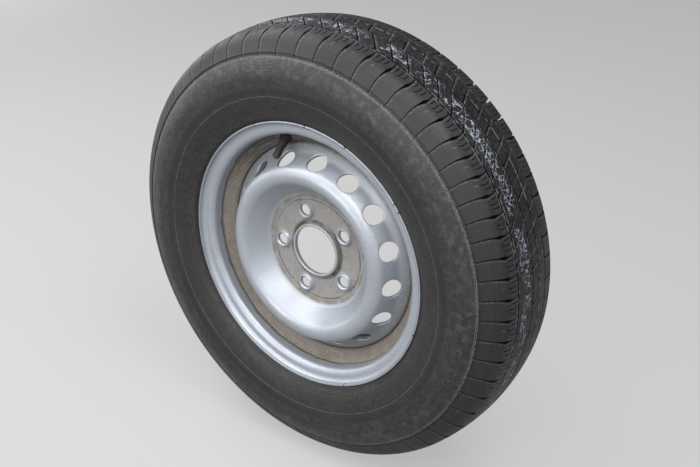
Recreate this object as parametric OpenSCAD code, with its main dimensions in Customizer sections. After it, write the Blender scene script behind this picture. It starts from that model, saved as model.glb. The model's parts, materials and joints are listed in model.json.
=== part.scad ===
// Pressed steel road wheel with a tubeless tyre and its valve, stood upright on its tread.
// The wheel turns about Y, its outer face looks along -Y, and Z is up.
// The origin is the centre of the wheel.
// Sections are drawn as [radius, place along the axle] and turned about the axle.

/* [Rim] */
// Diameter across the bead seats, measured at the flanges
bead_d = 329.4; // [325:0.1:335]
// Distance between the two flange faces that hold the tyre
rim_w = 114.3; // [105:0.1:125]
// Height of the flanges above the bead seats
flange_h = 17.3; // [16.5:0.1:19]
// Width of the lip that curls away from each flange face
lip_w = 10.5; // [10:0.1:13]
// Thickness of the rim's steel sheet
rim_t = 2.8; // [2.2:0.1:3.2]
// Radius of the bend at the top of a flange
flange_round = 9.5; // [9:0.1:9.8]
// Radius of the bend between a flange and its bead seat
heel_round = 6.5; // [5.5:0.1:6.6]
// Slope of the bead seats, in degrees
seat_slope = 5; // [4:0.5:6]
// Depth of the well below the bead seats
well_h = 17.3; // [15:0.1:20]
// Width of the well's floor
well_w = 37.5; // [32:0.5:42]
// Place of the well's middle along the axle, less than 0 being nearer the outer face
well_y = -8.75; // [-12:0.25:-4]
// Width of each sloping side of the well
well_side = 11.5; // [9:0.5:14]
// Height of the safety hump at the inner end of each bead seat
hump_h = 1.2; // [0.6:0.1:1.8]

/* [Disc] */
// Thickness of the disc's steel sheet
disc_t = 3.6; // [3:0.1:4]
// Distance from the wheel's middle plane to the face that sits on the hub
offset_y = 30; // [24:0.5:34]
// Diameter of the centre bore
bore_d = 66.6; // [57:0.1:72]
// How far the bore's collar stands out of the hub face
collar_h = 4.6; // [3.5:0.1:6]
// Radius of the disc's crown, its foremost ring
crown_r = 109; // [104:0.5:113]
// How far the crown stands out of the hub face
crown_h = 30.7; // [24:0.1:33]
// Radius that rounds the crown
crown_round = 15; // [12:0.5:18]
// Slope of the bowl's wall, in degrees from the hub face
wall_angle = 52.6; // [48:0.2:58]
// Slope of the vented flank, in degrees from the axle
flank_angle = 30; // [26:0.5:34]
// Slope of the flank's outer end, in degrees from the axle
flare_angle = 47; // [40:0.5:52]
// How far behind the crown the flank starts to flare
flare_back = 25.8; // [23:0.2:28]
// Length of the disc's flange inside the rim
disc_flange_w = 29; // [22:0.5:34]

/* [Disc holes] */
// Number of vent holes
vent_count = 16; // [10:1:18]
// Diameter of a vent hole
vent_d = 26; // [18:0.5:29]
// How far behind the crown the vent holes are centred
vent_back = 17.8; // [15.5:0.1:20]
// Number of bolt holes
bolt_count = 5; // [4:1:6]
// Diameter of the circle that the bolt holes lie on
bolt_circle_d = 112; // [105:0.5:120]
// Diameter of a bolt hole
bolt_d = 15; // [13:0.1:16]
// Diameter of the rim of the raised seat round a bolt hole
seat_top_d = 20.4; // [19.6:0.1:22]
// Diameter of the foot of that raised seat
seat_foot_d = 29; // [26:0.5:32]
// How far the raised seat stands out of the hub face
seat_h = 4.4; // [3:0.1:5.5]

/* [Welds] */
// Number of weld seams between disc and rim
weld_count = 8; // [4:1:12]
// Length of a weld seam, in degrees round the wheel
weld_angle = 24; // [12:1:28]
// Width of a weld seam
weld_w = 4; // [2.5:0.1:6]

/* [Tyre] */
// Diameter over the tread
tyre_d = 596; // [584:1:608]
// Width across the sidewalls
section_w = 166; // [160:1:174]
// Diameter at which the sidewalls are widest
wide_d = 476; // [464:2:488]
// Radius of the tread's curve across its width
tread_curve = 218; // [190:2:300]
// Distance of each shoulder's centre of curvature from the middle plane
shoulder_y = 40.7; // [37:0.1:44]
// Radius that rounds a shoulder
shoulder_round = 30; // [26:0.5:33]
// Diameter of the ridge that runs round each sidewall below the shoulder
ridge_d = 527.4; // [518:0.2:532]
// Width across the two ridges
ridge_w = 148.4; // [142:0.2:152]
// Thickness of the tyre under the tread
tread_t = 15; // [13:0.5:17]
// Thickness of the sidewalls
side_t = 7; // [5.5:0.5:8]
// Gap left between a bead's toe and the hump
toe_gap = 1.2; // [0.6:0.1:2]
// Gap left between the tyre and the rim's steel
bead_gap = 0.1; // [0.05:0.01:0.2]

/* [Tread] */
// Number of slots round each shoulder
shoulder_slots = 67; // [48:1:72]
// Width of a shoulder slot
slot_w = 2.6; // [1.6:0.1:3.2]
// Depth of the shoulder slots
slot_h = 7; // [5:0.5:8]
// How much the slots' spacing varies round the tyre, in degrees
pitch_sway = 2.4; // [0:0.1:2.6]
// Sideways sway of a shoulder slot
slot_sway = 1.8; // [0:0.1:3]
// Place of the groove beside the outer shoulder
groove_a_y = -36; // [-38:0.5:-33]
// Place of the groove between the wide rib and the middle rib
groove_b_y = -6.5; // [-9:0.5:-4]
// Place of the groove beyond the middle rib
groove_c_y = 10.5; // [8:0.5:13]
// Place of the groove beside the inner shoulder
groove_d_y = 28; // [26:0.5:31]
// Width of the narrow grooves
groove_w = 2.4; // [1.4:0.1:3.2]
// Width of the groove beside the inner shoulder
wide_groove_w = 3.6; // [2.4:0.1:4.5]
// Depth of the grooves
groove_h = 6.5; // [4:0.5:8]
// Number of slots across the wide rib
rib_slots = 80; // [50:1:84]
// Width of the slots in the ribs
rib_slot_w = 1.4; // [0.8:0.1:2]
// Depth of the slots in the ribs
rib_slot_h = 5; // [3:0.5:7]
// Slant of the wide rib's slots, in degrees from the axle
wide_slant = 43; // [30:1:50]
// Slant of the middle rib's slots, in degrees from the axle
middle_slant = 24; // [10:1:35]

/* [Valve] */
// Turn of the wheel at which the valve stands, in degrees from the top
valve_angle = -17.6; // [-180:0.1:180]
// Diameter of the valve hole in the rim
valve_hole_d = 11.3; // [10.8:0.1:12]
// Diameter of the rubber foot that covers the valve hole
foot_d = 15.2; // [14:0.1:17]
// Length of the valve, from the rim to the end of its stem
valve_l = 32; // [30:0.5:38]
// Length of the bare screwed end of the stem
stem_thread_l = 10; // [9:0.5:11]
// Diameter of the stem's outer thread
stem_d = 7.7; // [7.5:0.05:8]
// Diameter of the bore that the valve core screws into
core_bore_d = 5.3; // [5.1:0.05:5.5]
// Diameter of the air passage through the stem
passage_d = 3.7; // [3.5:0.05:3.9]
// Diameter of the core's pin
pin_d = 1.2; // [0.9:0.05:1.3]
// Diameter of the core spring's wire
spring_wire = 0.22; // [0.16:0.01:0.26]
// Gap between pieces of the valve that touch
valve_gap = 0.05; // [0.03:0.01:0.08]

/* [Valve cap] */
// Diameter of the valve cap over its ribs
cap_d = 9.7; // [9.4:0.1:11]
// Number of grip ribs round the cap
cap_ribs = 18; // [8:1:24]
// Thickness of the cap's end wall
cap_end_t = 1.2; // [0.8:0.1:2]
// Thickness of the rubber seal in the cap
cap_seal_t = 0.9; // [0.6:0.1:1.2]

/* [Hidden] */
$fn = 120;

// Rim, as its face towards the tyre
bead_r = bead_d / 2;
flange_y = rim_w / 2;
flange_r = bead_r + flange_h;
lip_y = flange_y + lip_w;
well_r = bead_r - well_h;
well_out_y = well_y - well_w / 2;
well_in_y = well_y + well_w / 2;
hump_out_y = well_out_y - well_side;
hump_in_y = well_in_y + well_side;
hump_run = 3.5;
hump_round = 5;
well_round = 8;
bend_steps = 6;
// Radius of a bead seat at a place along the axle
function seat_r(y) = bead_r - (flange_y - abs(y)) * tan(seat_slope);

// Disc, as its face towards the outside
hub_y = -offset_y - disc_t;
bore_r = bore_d / 2;
collar_r = bore_r + disc_t;
collar_y = hub_y - collar_h;
collar_round = 0.8;
crown_y = hub_y - crown_h;
wall_round = 14;
flare_round = 25;
flange_bend = 8;
weld_gap = 0.05;
disc_r = well_r - rim_t - weld_gap;
bolt_circle_r = bolt_circle_d / 2;
edge_steps = 8;

// Unit vector at an angle from the direction of growing radius
function heading(a) = [cos(a), sin(a)];
// The same vector turned a quarter to the left
function left(v) = [-v[1], v[0]];
function unit(v) = v / norm(v);
function crossed(u, v) = u[0] * v[1] - u[1] * v[0];
// Point where the line from p along u meets the line from q along v
function meet(p, u, q, v) = p + u * crossed(q - p, v) / crossed(u, v);
function turned(v, a) = [v[0] * cos(a) - v[1] * sin(a), v[0] * sin(a) + v[1] * cos(a)];

// Bend of radius r at b on the way from a to c, as [point, left normal] pairs
function bend(a, b, c, r, steps) =
    let (u = unit(b - a),
         v = unit(c - b),
         turn = atan2(crossed(u, v), u * v),
         side = sign(turn),
         start = b - u * r * tan(abs(turn) / 2),
         centre = start + left(u) * side * r)
    [for (i = [0 : steps])
        let (n = turned(left(u), turn * i / steps))
        [centre - n * side * r, n]];

// Path along the corners in p with the bend radii in r, as [point, left normal] pairs
function bent_path(p, r, steps) =
    let (last = len(p) - 1)
    concat(
        [[p[0], left(unit(p[1] - p[0]))]],
        [for (i = [1 : last - 1]) each bend(p[i - 1], p[i], p[i + 1], r[i], steps)],
        [[p[last], left(unit(p[last] - p[last - 1]))]]);

// How far the rounded edge of a sheet stands out at the end of a path
nose_h = 1;
// Nose that closes a sheet of thickness t at the end of a path, going from near to far side
function nose(end, t, out) =
    let (middle = end[0] + end[1] * t / 2)
    [for (i = [1 : 3])
        let (a = 180 * i / 4)
        middle - end[1] * cos(a) * t / 2 + out * sin(a) * nose_h];

// The same points in the opposite order
function reversed(p) = [for (i = [len(p) - 1 : -1 : 0]) p[i]];
// The same points on the other side of the middle plane
function mirrored(p) = [for (q = p) [q[0], -q[1]]];

// Outline of a sheet of thickness t on the left of a path, with round noses at both ends
function sheet(path, t) =
    let (last = len(path) - 1,
         first_out = turned(path[0][1], 90),
         last_out = turned(path[last][1], -90))
    concat(
        [for (q = path) q[0]],
        nose(path[last], t, last_out),
        [for (q = reversed(path)) q[0] + q[1] * t],
        reversed(nose(path[0], t, first_out)));

// Arc from a to b that runs square to the axle's direction at a, as points
function side_arc(a, b, steps) =
    let (d = b - a,
         r = (d * d) / (2 * abs(d[1])),
         way = sign(d[1]),
         centre = a + [0, way * r],
         sweep = atan2(abs(d[0]), r - abs(d[1])))
    [for (i = [0 : steps])
        let (t = sweep * i / steps)
        centre + [sign(d[0]) * r * sin(t), -way * r * cos(t)]];

// Solid turned about the axle from a section of [radius, place along the axle]
module turned_solid(section) {
    rotate([-90, 0, 0]) rotate_extrude() polygon(section);
}

// Children turned round the axle by a degrees, from the top towards +X
module round_wheel(a) {
    rotate([0, a, 0]) children();
}

// Rim: one strip of sheet, rolled and butt welded, with a lip, flange, seat and hump at each side
rim_half_out = [
    [flange_r, nose_h - lip_y],
    [flange_r, -flange_y],
    [bead_r, -flange_y],
    [seat_r(hump_out_y - hump_run), hump_out_y - hump_run],
    [seat_r(hump_out_y) + hump_h, hump_out_y],
    [well_r, well_out_y]];
rim_half_in = [
    [well_r, well_in_y],
    [seat_r(hump_in_y) + hump_h, hump_in_y],
    [seat_r(hump_in_y + hump_run), hump_in_y + hump_run],
    [bead_r, flange_y],
    [flange_r, flange_y],
    [flange_r, lip_y - nose_h]];
rim_rounds = [0, flange_round, heel_round, hump_round, hump_round, well_round,
              well_round, hump_round, hump_round, heel_round, flange_round, 0];

// Middle of the valve hole, on the rim's face towards the outside
side_run = rim_half_out[4] - rim_half_out[5];
valve_tilt = atan2(abs(side_run[1]), side_run[0]);
side_middle = (rim_half_out[4] + rim_half_out[5]) / 2;
valve_foot = side_middle - rim_t * [sin(valve_tilt), cos(valve_tilt)];

// Children moved from the valve's own frame, with its foot at 0 and its cap along +Z
module at_valve() {
    round_wheel(valve_angle)
        translate([0, valve_foot[1], valve_foot[0]])
            rotate([90 + valve_tilt, 0, 0])
                children();
}

module rim() {
    color([0.72, 0.74, 0.78])
        difference() {
            turned_solid(sheet(bent_path(concat(rim_half_out, rim_half_in), rim_rounds, bend_steps),
                               rim_t));
            at_valve()
                translate([0, 0, -2 * rim_t])
                    cylinder(h = 3 * rim_t, d = valve_hole_d);
        }
}

// Disc: a pressed dish whose crown, vented flank and flange run out to the rim's well
crown_centre = [crown_r, crown_y + crown_round];
wall_way = heading(-wall_angle);
flank_way = heading(90 - flank_angle);
flare_way = heading(90 - flare_angle);
wall_point = crown_centre - left(wall_way) * crown_round;
flank_point = crown_centre - left(flank_way) * crown_round;
flare_corner = meet(flank_point, flank_way, [0, crown_y + flare_back], [1, 0]);
flange_corner = meet(flare_corner, flare_way, [disc_r, 0], [0, 1]);
disc_end_y = flange_corner[1] + disc_flange_w;
disc_corners = [
    [collar_r, collar_y + nose_h],
    [collar_r, hub_y],
    meet([0, hub_y], [1, 0], wall_point, wall_way),
    meet(wall_point, wall_way, flank_point, flank_way),
    flare_corner,
    flange_corner,
    [disc_r, disc_end_y - nose_h]];
disc_rounds = [0, collar_round, wall_round, crown_round, flare_round, flange_bend, 0];
vent_centre = meet(flank_point, flank_way, [0, crown_y + vent_back], [1, 0]);

// Bolt seat, in its own frame: 0 is the hub face and +Z leads out of the wheel
seat_cone_d = seat_top_d - 2;
seat_pocket_d = seat_foot_d - 2 * disc_t;
seat_floor = 0.6;

module seat_boss() {
    rotate_extrude()
        polygon([
            [0, -disc_t / 2],
            [seat_foot_d / 2, -disc_t / 2],
            [seat_foot_d / 2, 0],
            [seat_foot_d / 2 - 1.6, 0.5],
            [seat_top_d / 2 + 0.8, seat_h - 0.7],
            [seat_top_d / 2, seat_h],
            [0, seat_h]]);
}

// What is cut away: the bolt hole, its conical seat and the pocket behind it
module seat_hollow() {
    rotate_extrude()
        polygon([
            [0, -disc_t - 1],
            [seat_pocket_d / 2, -disc_t - 1],
            [seat_pocket_d / 2, -disc_t],
            [bolt_d / 2, -seat_floor],
            [bolt_d / 2, seat_h - (seat_cone_d - bolt_d) / 2],
            [seat_cone_d / 2, seat_h],
            [seat_cone_d / 2, seat_h + 1],
            [0, seat_h + 1]]);
}

module at_bolts() {
    for (i = [0 : bolt_count - 1])
        round_wheel(valve_angle + 360 * i / bolt_count)
            translate([0, hub_y, bolt_circle_r])
                rotate([90, 0, 0])
                    children();
}

module vent_cutter() {
    translate([0, vent_centre[1], vent_centre[0]])
        rotate([flank_angle, 0, 0])
            translate([0, 0, -2.5 * disc_t])
                cylinder(h = 4 * disc_t, d = vent_d);
}

module disc() {
    color([0.70, 0.72, 0.76])
        difference() {
            union() {
                turned_solid(sheet(bent_path(disc_corners, disc_rounds, edge_steps), disc_t));
                at_bolts() seat_boss();
            }
            at_bolts() seat_hollow();
            for (i = [0 : vent_count - 1])
                round_wheel(valve_angle + 360 * i / vent_count) vent_cutter();
        }
}

// Weld seam: a fillet between the end of the disc's flange and the rim's well
module disc_weld(i) {
    foot = disc_end_y + weld_gap;
    top_r = well_r - rim_t - weld_gap;
    color([0.55, 0.56, 0.58])
        round_wheel(valve_angle + 360 * (i - 0.5) / weld_count - weld_angle / 2)
            rotate([-90, 0, 0])
                rotate_extrude(angle = weld_angle, start = -90)
                    polygon([
                        [top_r, foot],
                        [top_r, foot + weld_w],
                        [top_r - weld_w * 0.55, foot + weld_w * 0.55],
                        [top_r - disc_t / 2, foot]]);
}

// Tyre: one moulding of rubber round its cords, hollow for the air
tyre_r = tyre_d / 2;
wide = [wide_d / 2, section_w / 2];
ridge = [ridge_d / 2, ridge_w / 2];
tread_centre = tyre_r - tread_curve;
shoulder_centre = [
    tread_centre + sqrt(pow(tread_curve - shoulder_round, 2) - pow(shoulder_y, 2)),
    shoulder_y];
tread_edge_angle = atan2(shoulder_y, shoulder_centre[0] - tread_centre);
shoulder_end_angle = 64;
inner_end_angle = 50;
ridge_land = 1;
ridge_groove_w = 2.4;
ridge_groove_h = 1.6;
tread_steps = 4;
shoulder_steps = 7;
side_steps = 7;
lip_gap = 0.8;
flange_curve = [flange_r - flange_round, flange_y + flange_round];
tyre_foot = [flange_r + lip_gap + 1.4, lip_y + 0.3];
heel = [bead_r + bead_gap, flange_y - bead_gap];
toe_y = max(-hump_out_y, hump_in_y) + hump_run + toe_gap;
toe = [seat_r(toe_y) + bead_gap, toe_y];
inner_bead = toe + [22, 8.5];
inner_wide = wide - [0, side_t];

// Radius of the tread at a place across it
function tread_r(y) = tread_centre + sqrt(pow(tread_curve, 2) - y * y);
// Point on a shoulder, sunk by a depth, at an angle from the radial direction
function shoulder_point(a, depth) = shoulder_centre + (shoulder_round - depth) * heading(a);

// Groove round the tread at y, as the four corners that the outline passes from +Y to -Y
function groove(y, w) = [
    [tread_r(y + w / 2), y + w / 2],
    [tread_r(y) - groove_h, y + w * 0.3],
    [tread_r(y) - groove_h, y - w * 0.3],
    [tread_r(y - w / 2), y - w / 2]];

// Points on top of the tread between two places across it
function rib_top(y_from, y_to) = [
    for (i = [1 : tread_steps - 1])
        let (y = y_from + (y_to - y_from) * i / tread_steps)
        [tread_r(y), y]];

// Tread between the shoulders, from +Y to -Y, with its four grooves
tread_edge_y = tread_curve * sin(tread_edge_angle);
tread_line = concat(
    rib_top(tread_edge_y, groove_d_y),
    groove(groove_d_y, wide_groove_w),
    rib_top(groove_d_y, groove_c_y),
    groove(groove_c_y, groove_w),
    rib_top(groove_c_y, groove_b_y),
    groove(groove_b_y, groove_w),
    rib_top(groove_b_y, groove_a_y),
    groove(groove_a_y, groove_w),
    rib_top(groove_a_y, -tread_edge_y));

// Half the tyre's outside, from the edge of the tread down to the bead's toe
outside_line = concat(
    [for (i = [0 : shoulder_steps])
        shoulder_point(tread_edge_angle
            + (shoulder_end_angle - tread_edge_angle) * i / shoulder_steps, 0)],
    [ridge + [ridge_land + ridge_groove_w + 1, -ridge_groove_h + 0.2]],
    [ridge + [ridge_land + ridge_groove_w, -ridge_groove_h - 0.6]],
    [ridge + [ridge_land + 0.6, -ridge_groove_h]],
    [ridge + [ridge_land, -0.2]],
    reversed(side_arc(wide, ridge, side_steps)),
    [for (i = [1 : side_steps]) side_arc(wide, tyre_foot, side_steps)[i]],
    [for (i = [0 : bend_steps])
        flange_curve + (flange_round + bead_gap + lip_gap * (1 - i / bend_steps))
            * heading(-90 * i / bend_steps)],
    [for (i = [0 : bend_steps])
        heel + [heel_round, -heel_round] + heel_round * heading(90 + 90 * i / bend_steps)],
    [toe]);

// Half the tyre's inside, from the toe up to the middle of the tread
inside_line = concat(
    [toe + [1.8, -0.8]],
    reversed(side_arc(inner_wide, inner_bead, side_steps)),
    [for (i = [1 : side_steps])
        side_arc(inner_wide, shoulder_point(inner_end_angle, tread_t), side_steps)[i]],
    [for (i = [3 : -1 : 0])
        shoulder_point(tread_edge_angle
            + (inner_end_angle - tread_edge_angle) * i / 4, tread_t)],
    [for (i = [2 : -1 : 0])
        [tread_centre, 0] + (tread_curve - tread_t) * heading(tread_edge_angle * i / 3)]);

// Turn of the i-th of n slots round the tyre, whose spacing sways to spread the tyre's noise
function slot_turn(i, n) = 360 * i / n + pitch_sway * sin(3 * 360 * i / n);

// Slot across a shoulder, from the groove at y_from out to the ridge, as it stands at the top.
// A band that sways from side to side is cut to the depth line that follows the shoulder.
slot_stations = 5;
module shoulder_slot(y_from) {
    band = [for (k = [0 : slot_stations])
        let (f = k / slot_stations)
        [slot_sway * sin(340 * f), y_from + (ridge[1] + 1 - y_from) * f,
         slot_w * (0.5 + 0.5 * min(1, 2.2 * f)) / 2]];
    floor_line = [
        [tread_r(y_from) - slot_h, y_from],
        shoulder_point(tread_edge_angle, slot_h),
        shoulder_point(tread_edge_angle * 0.4 + shoulder_end_angle * 0.6, slot_h * 0.85),
        shoulder_point(shoulder_end_angle, slot_h * 0.45),
        ridge + [ridge_land + ridge_groove_w, -ridge_groove_h - 1.2],
        ridge + [ridge_land + ridge_groove_w, 2]];
    intersection() {
        translate([0, 0, ridge[0]])
            linear_extrude(tyre_r - ridge[0] + 1)
                polygon(concat(
                    [for (q = band) [q[0] - q[2], q[1]]],
                    [for (q = reversed(band)) [q[0] + q[2], q[1]]]));
        rotate([90, 0, 90])
            linear_extrude(4 * slot_w + 2 * slot_sway, center = true)
                polygon(concat(
                    [for (q = floor_line) [q[1], q[0]]],
                    [[ridge[1] + 2, tyre_r + 1], [y_from, tyre_r + 1]]));
    }
}

// Straight slot in a rib between two places across the tread, as it stands at the top
module rib_slot(y_from, y_to, slant, turn) {
    y = (y_from + y_to) / 2;
    slot_l = (y_to - y_from) / cos(slant);
    round_wheel(turn)
        translate([0, y, tread_r(y) - rib_slot_h])
            rotate([-asin(y / tread_curve), 0, slant])
                translate([-rib_slot_w / 2, -slot_l / 2, 0])
                    cube([rib_slot_w, slot_l, 2 * rib_slot_h]);
}

module tyre_body() {
    turned_solid(concat(
        tread_line,
        mirrored(outside_line),
        mirrored(inside_line),
        reversed(inside_line),
        reversed(outside_line)));
}

module tyre() {
    color([0.13, 0.13, 0.14])
        difference() {
            tyre_body();
            for (i = [0 : shoulder_slots - 1])
                round_wheel(slot_turn(i, shoulder_slots)) {
                    mirror([0, 1, 0]) shoulder_slot(-groove_a_y);
                    rotate([0, 1.1, 0]) shoulder_slot(groove_d_y);
                }
            for (i = [0 : rib_slots - 1])
                rib_slot(groove_a_y, groove_b_y - 2, wide_slant, slot_turn(i, rib_slots));
            for (i = [0 : rib_slots / 2 - 1]) {
                rib_slot(groove_b_y, groove_c_y + 5, middle_slant, slot_turn(i, rib_slots / 2));
                rib_slot(groove_c_y - 3, groove_c_y + 6, middle_slant,
                         slot_turn(i + 0.5, rib_slots / 2));
            }
        }
}

// Valve body: the rubber part, snapped into the rim's valve hole
foot_r = foot_d / 2;
hole_r = valve_hole_d / 2;
stem_r = stem_d / 2;
thread_z = valve_l - stem_thread_l;
stem_tube_r = 2.9;

module valve_body() {
    color([0.09, 0.09, 0.10])
        at_valve()
            rotate_extrude()
                polygon([
                    [stem_tube_r + valve_gap, -rim_t - 6],
                    [hole_r + 1, -rim_t - 6],
                    [foot_r - 0.4, -rim_t - 2.6],
                    [foot_r - 0.4, -rim_t - 1.4],
                    [foot_r - 1, -rim_t - 0.3],
                    [hole_r - valve_gap, -rim_t - 0.3],
                    [hole_r - valve_gap, 0.3],
                    [foot_r, 0.6],
                    [foot_r, 3],
                    [foot_r - 0.6, 4.4],
                    [hole_r + 0.6, 9],
                    [stem_r + 1.1, thread_z - 5],
                    [stem_r + 0.75, thread_z - 1.2],
                    [stem_r + 0.3, thread_z - 0.8],
                    [stem_tube_r + valve_gap, thread_z - 0.8]]);
}

// Valve stem: a brass tube bonded in the rubber, screwed outside for the cap and inside for the core
core_bore_r = core_bore_d / 2;
passage_r = passage_d / 2;
core_seat_z = valve_l - 7;
core_seat_end = core_seat_z - 1.6;

module valve_stem() {
    color([0.78, 0.62, 0.33])
        at_valve()
            rotate_extrude()
                polygon([
                    [passage_r, -rim_t - 5],
                    [stem_tube_r, -rim_t - 5],
                    [stem_tube_r, thread_z - 0.8],
                    [stem_r - 0.4, thread_z - 0.8],
                    [stem_r, thread_z - 0.2],
                    [stem_r, valve_l - 0.5],
                    [stem_r - 0.5, valve_l],
                    [core_bore_r, valve_l],
                    [core_bore_r, core_seat_z],
                    [passage_r, core_seat_end]]);
}

// Valve core plug: the screwed head, with two flats for its key and a hole for the pin
plug_r = core_bore_r - valve_gap;
plug_z = core_seat_z + 0.6;
plug_top_z = valve_l - 1.2;
pin_r = pin_d / 2;
pin_run_gap = 0.12;

module core_plug() {
    color([0.80, 0.65, 0.36])
        at_valve()
            difference() {
                translate([0, 0, plug_z])
                    cylinder(h = plug_top_z - plug_z, r = plug_r);
                translate([0, 0, plug_z - 1])
                    cylinder(h = plug_top_z - plug_z + 2, r = pin_r + pin_run_gap);
                for (side = [-1, 1])
                    translate([side * plug_r, 0, plug_top_z])
                        cube([plug_r, 2 * plug_r, plug_top_z - plug_z], center = true);
            }
}

// Valve core barrel: hangs below the plug and holds the spring
barrel_r = passage_r - 0.25;
barrel_bore_r = barrel_r - 0.35;
barrel_top_z = plug_z - valve_gap;
barrel_end_z = barrel_top_z - 7;
ledge_t = 0.6;

module core_barrel() {
    color([0.80, 0.65, 0.36])
        at_valve()
            rotate_extrude()
                polygon([
                    [barrel_bore_r, barrel_top_z],
                    [barrel_r, barrel_top_z],
                    [barrel_r, barrel_end_z],
                    [pin_r + pin_run_gap, barrel_end_z],
                    [pin_r + pin_run_gap, barrel_end_z + ledge_t],
                    [barrel_bore_r, barrel_end_z + ledge_t]]);
}

// Valve core gasket: the ring round the barrel that seals on the stem's tapered seat
module core_gasket() {
    top_r = core_bore_r - 2 * valve_gap;
    taper = (core_bore_r - passage_r) / (core_seat_z - core_seat_end);
    color([0.70, 0.16, 0.12])
        at_valve()
            rotate_extrude()
                polygon([
                    [barrel_r + valve_gap, core_seat_z + 0.4],
                    [top_r, core_seat_z + 0.4],
                    [top_r, core_seat_z],
                    [top_r - taper * 1.2, core_seat_z - 1.2],
                    [barrel_r + valve_gap, core_seat_z - 1.2]]);
}

// Valve core pin: pressed in to let air pass, with a collar that the spring pushes on
collar_top_z = barrel_top_z - 0.5;
collar_t = 0.5;
cup_t = 0.6;
cup_seal_t = 0.8;
pin_end_z = barrel_end_z - cup_seal_t - cup_t - 0.4;

module core_pin() {
    color([0.80, 0.66, 0.40])
        at_valve() {
            translate([0, 0, pin_end_z])
                cylinder(h = valve_l - 0.9 - pin_end_z, r = pin_r);
            translate([0, 0, collar_top_z - collar_t])
                cylinder(h = collar_t, r = barrel_bore_r - 0.12);
        }
}

// Valve core cup: the brass cup on the pin's end, with the rubber seal that closes the barrel
cup_r = barrel_r - 0.05;
cup_z = barrel_end_z - cup_seal_t - cup_t;

module core_cup() {
    color([0.80, 0.65, 0.36])
        at_valve()
            difference() {
                translate([0, 0, cup_z])
                    cylinder(h = cup_t + cup_seal_t * 0.6, r = cup_r);
                translate([0, 0, cup_z + cup_t])
                    cylinder(h = cup_seal_t, r = cup_r - 0.2);
                translate([0, 0, cup_z - 1])
                    cylinder(h = cup_t + 2, r = pin_r + 0.01);
            }
}

module core_cup_seal() {
    color([0.10, 0.10, 0.11])
        at_valve()
            difference() {
                translate([0, 0, cup_z + cup_t])
                    cylinder(h = cup_seal_t - 0.02, r = cup_r - 0.23);
                translate([0, 0, cup_z])
                    cylinder(h = cup_t + cup_seal_t + 1, r = pin_r + 0.01);
            }
}

// Valve core spring: a coil round the pin, from the barrel's ledge up to the pin's collar
spring_turns = 6;
spring_sides = 6;
spring_steps = 12;

module core_spring() {
    low = barrel_end_z + ledge_t + spring_wire / 2 + 0.02;
    high = collar_top_z - collar_t - spring_wire / 2 - 0.02;
    coil_r = (pin_r + barrel_bore_r) / 2;
    rings = spring_turns * spring_steps;
    points = [for (i = [0 : rings], j = [0 : spring_sides - 1])
        let (a = 360 * i / spring_steps,
             b = 360 * j / spring_sides,
             r = coil_r + spring_wire / 2 * cos(b))
        [r * cos(a), r * sin(a), low + (high - low) * i / rings + spring_wire / 2 * sin(b)]];
    sides = [for (i = [0 : rings - 1], j = [0 : spring_sides - 1])
        let (k = (j + 1) % spring_sides)
        [i * spring_sides + j, i * spring_sides + k,
         (i + 1) * spring_sides + k, (i + 1) * spring_sides + j]];
    color([0.75, 0.76, 0.78])
        at_valve()
            polyhedron(points, concat(
                [[for (j = [spring_sides - 1 : -1 : 0]) j]],
                sides,
                [[for (j = [0 : spring_sides - 1]) rings * spring_sides + j]]));
}

// Valve cap: a moulded shell with grip ribs, and the rubber seal in its end
cap_r = cap_d / 2;
cap_run_gap = 0.12;
cap_foot_z = thread_z + 0.3;
cap_bore_r = stem_r + cap_run_gap;
seal_z = valve_l + valve_gap;
cap_bore_end = seal_z + cap_seal_t + valve_gap;
cap_top_z = cap_bore_end + cap_end_t;
cap_rib_h = 0.3;

module cap_shell() {
    wall_r = cap_r - cap_rib_h;
    color([0.20, 0.19, 0.20])
        at_valve()
            difference() {
                union() {
                    rotate_extrude()
                        polygon([
                            [0, cap_foot_z],
                            [wall_r, cap_foot_z],
                            [wall_r, cap_top_z - 1],
                            [wall_r - 1, cap_top_z],
                            [0, cap_top_z]]);
                    for (i = [0 : cap_ribs - 1])
                        rotate([0, 0, 360 * i / cap_ribs])
                            translate([wall_r - 0.4, -0.4, cap_foot_z + 0.6])
                                cube([0.4 + cap_rib_h, 0.8, cap_top_z - cap_foot_z - 2]);
                }
                translate([0, 0, cap_foot_z - 1])
                    cylinder(h = cap_bore_end - cap_foot_z + 1, r = cap_bore_r);
            }
}

module cap_seal() {
    color([0.07, 0.07, 0.07])
        at_valve()
            translate([0, 0, seal_z])
                cylinder(h = cap_seal_t, r = cap_bore_r - valve_gap);
}

tyre();
rim();
disc();
for (i = [1 : weld_count])
    disc_weld(i);
valve_body();
valve_stem();
core_plug();
core_barrel();
core_gasket();
core_pin();
core_cup();
core_cup_seal();
core_spring();
cap_shell();
cap_seal();
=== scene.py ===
"""Looks of the wheel and tyre assembly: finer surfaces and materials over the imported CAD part.

The wheel turns about Y, its outer face looks along -Y, and Z is up. Lengths below are
millimetres, as in the part's source, and the meshes are made in metres.
"""
import json
import math

import bpy
import numpy as np
from mathutils import Matrix, Vector


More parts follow.
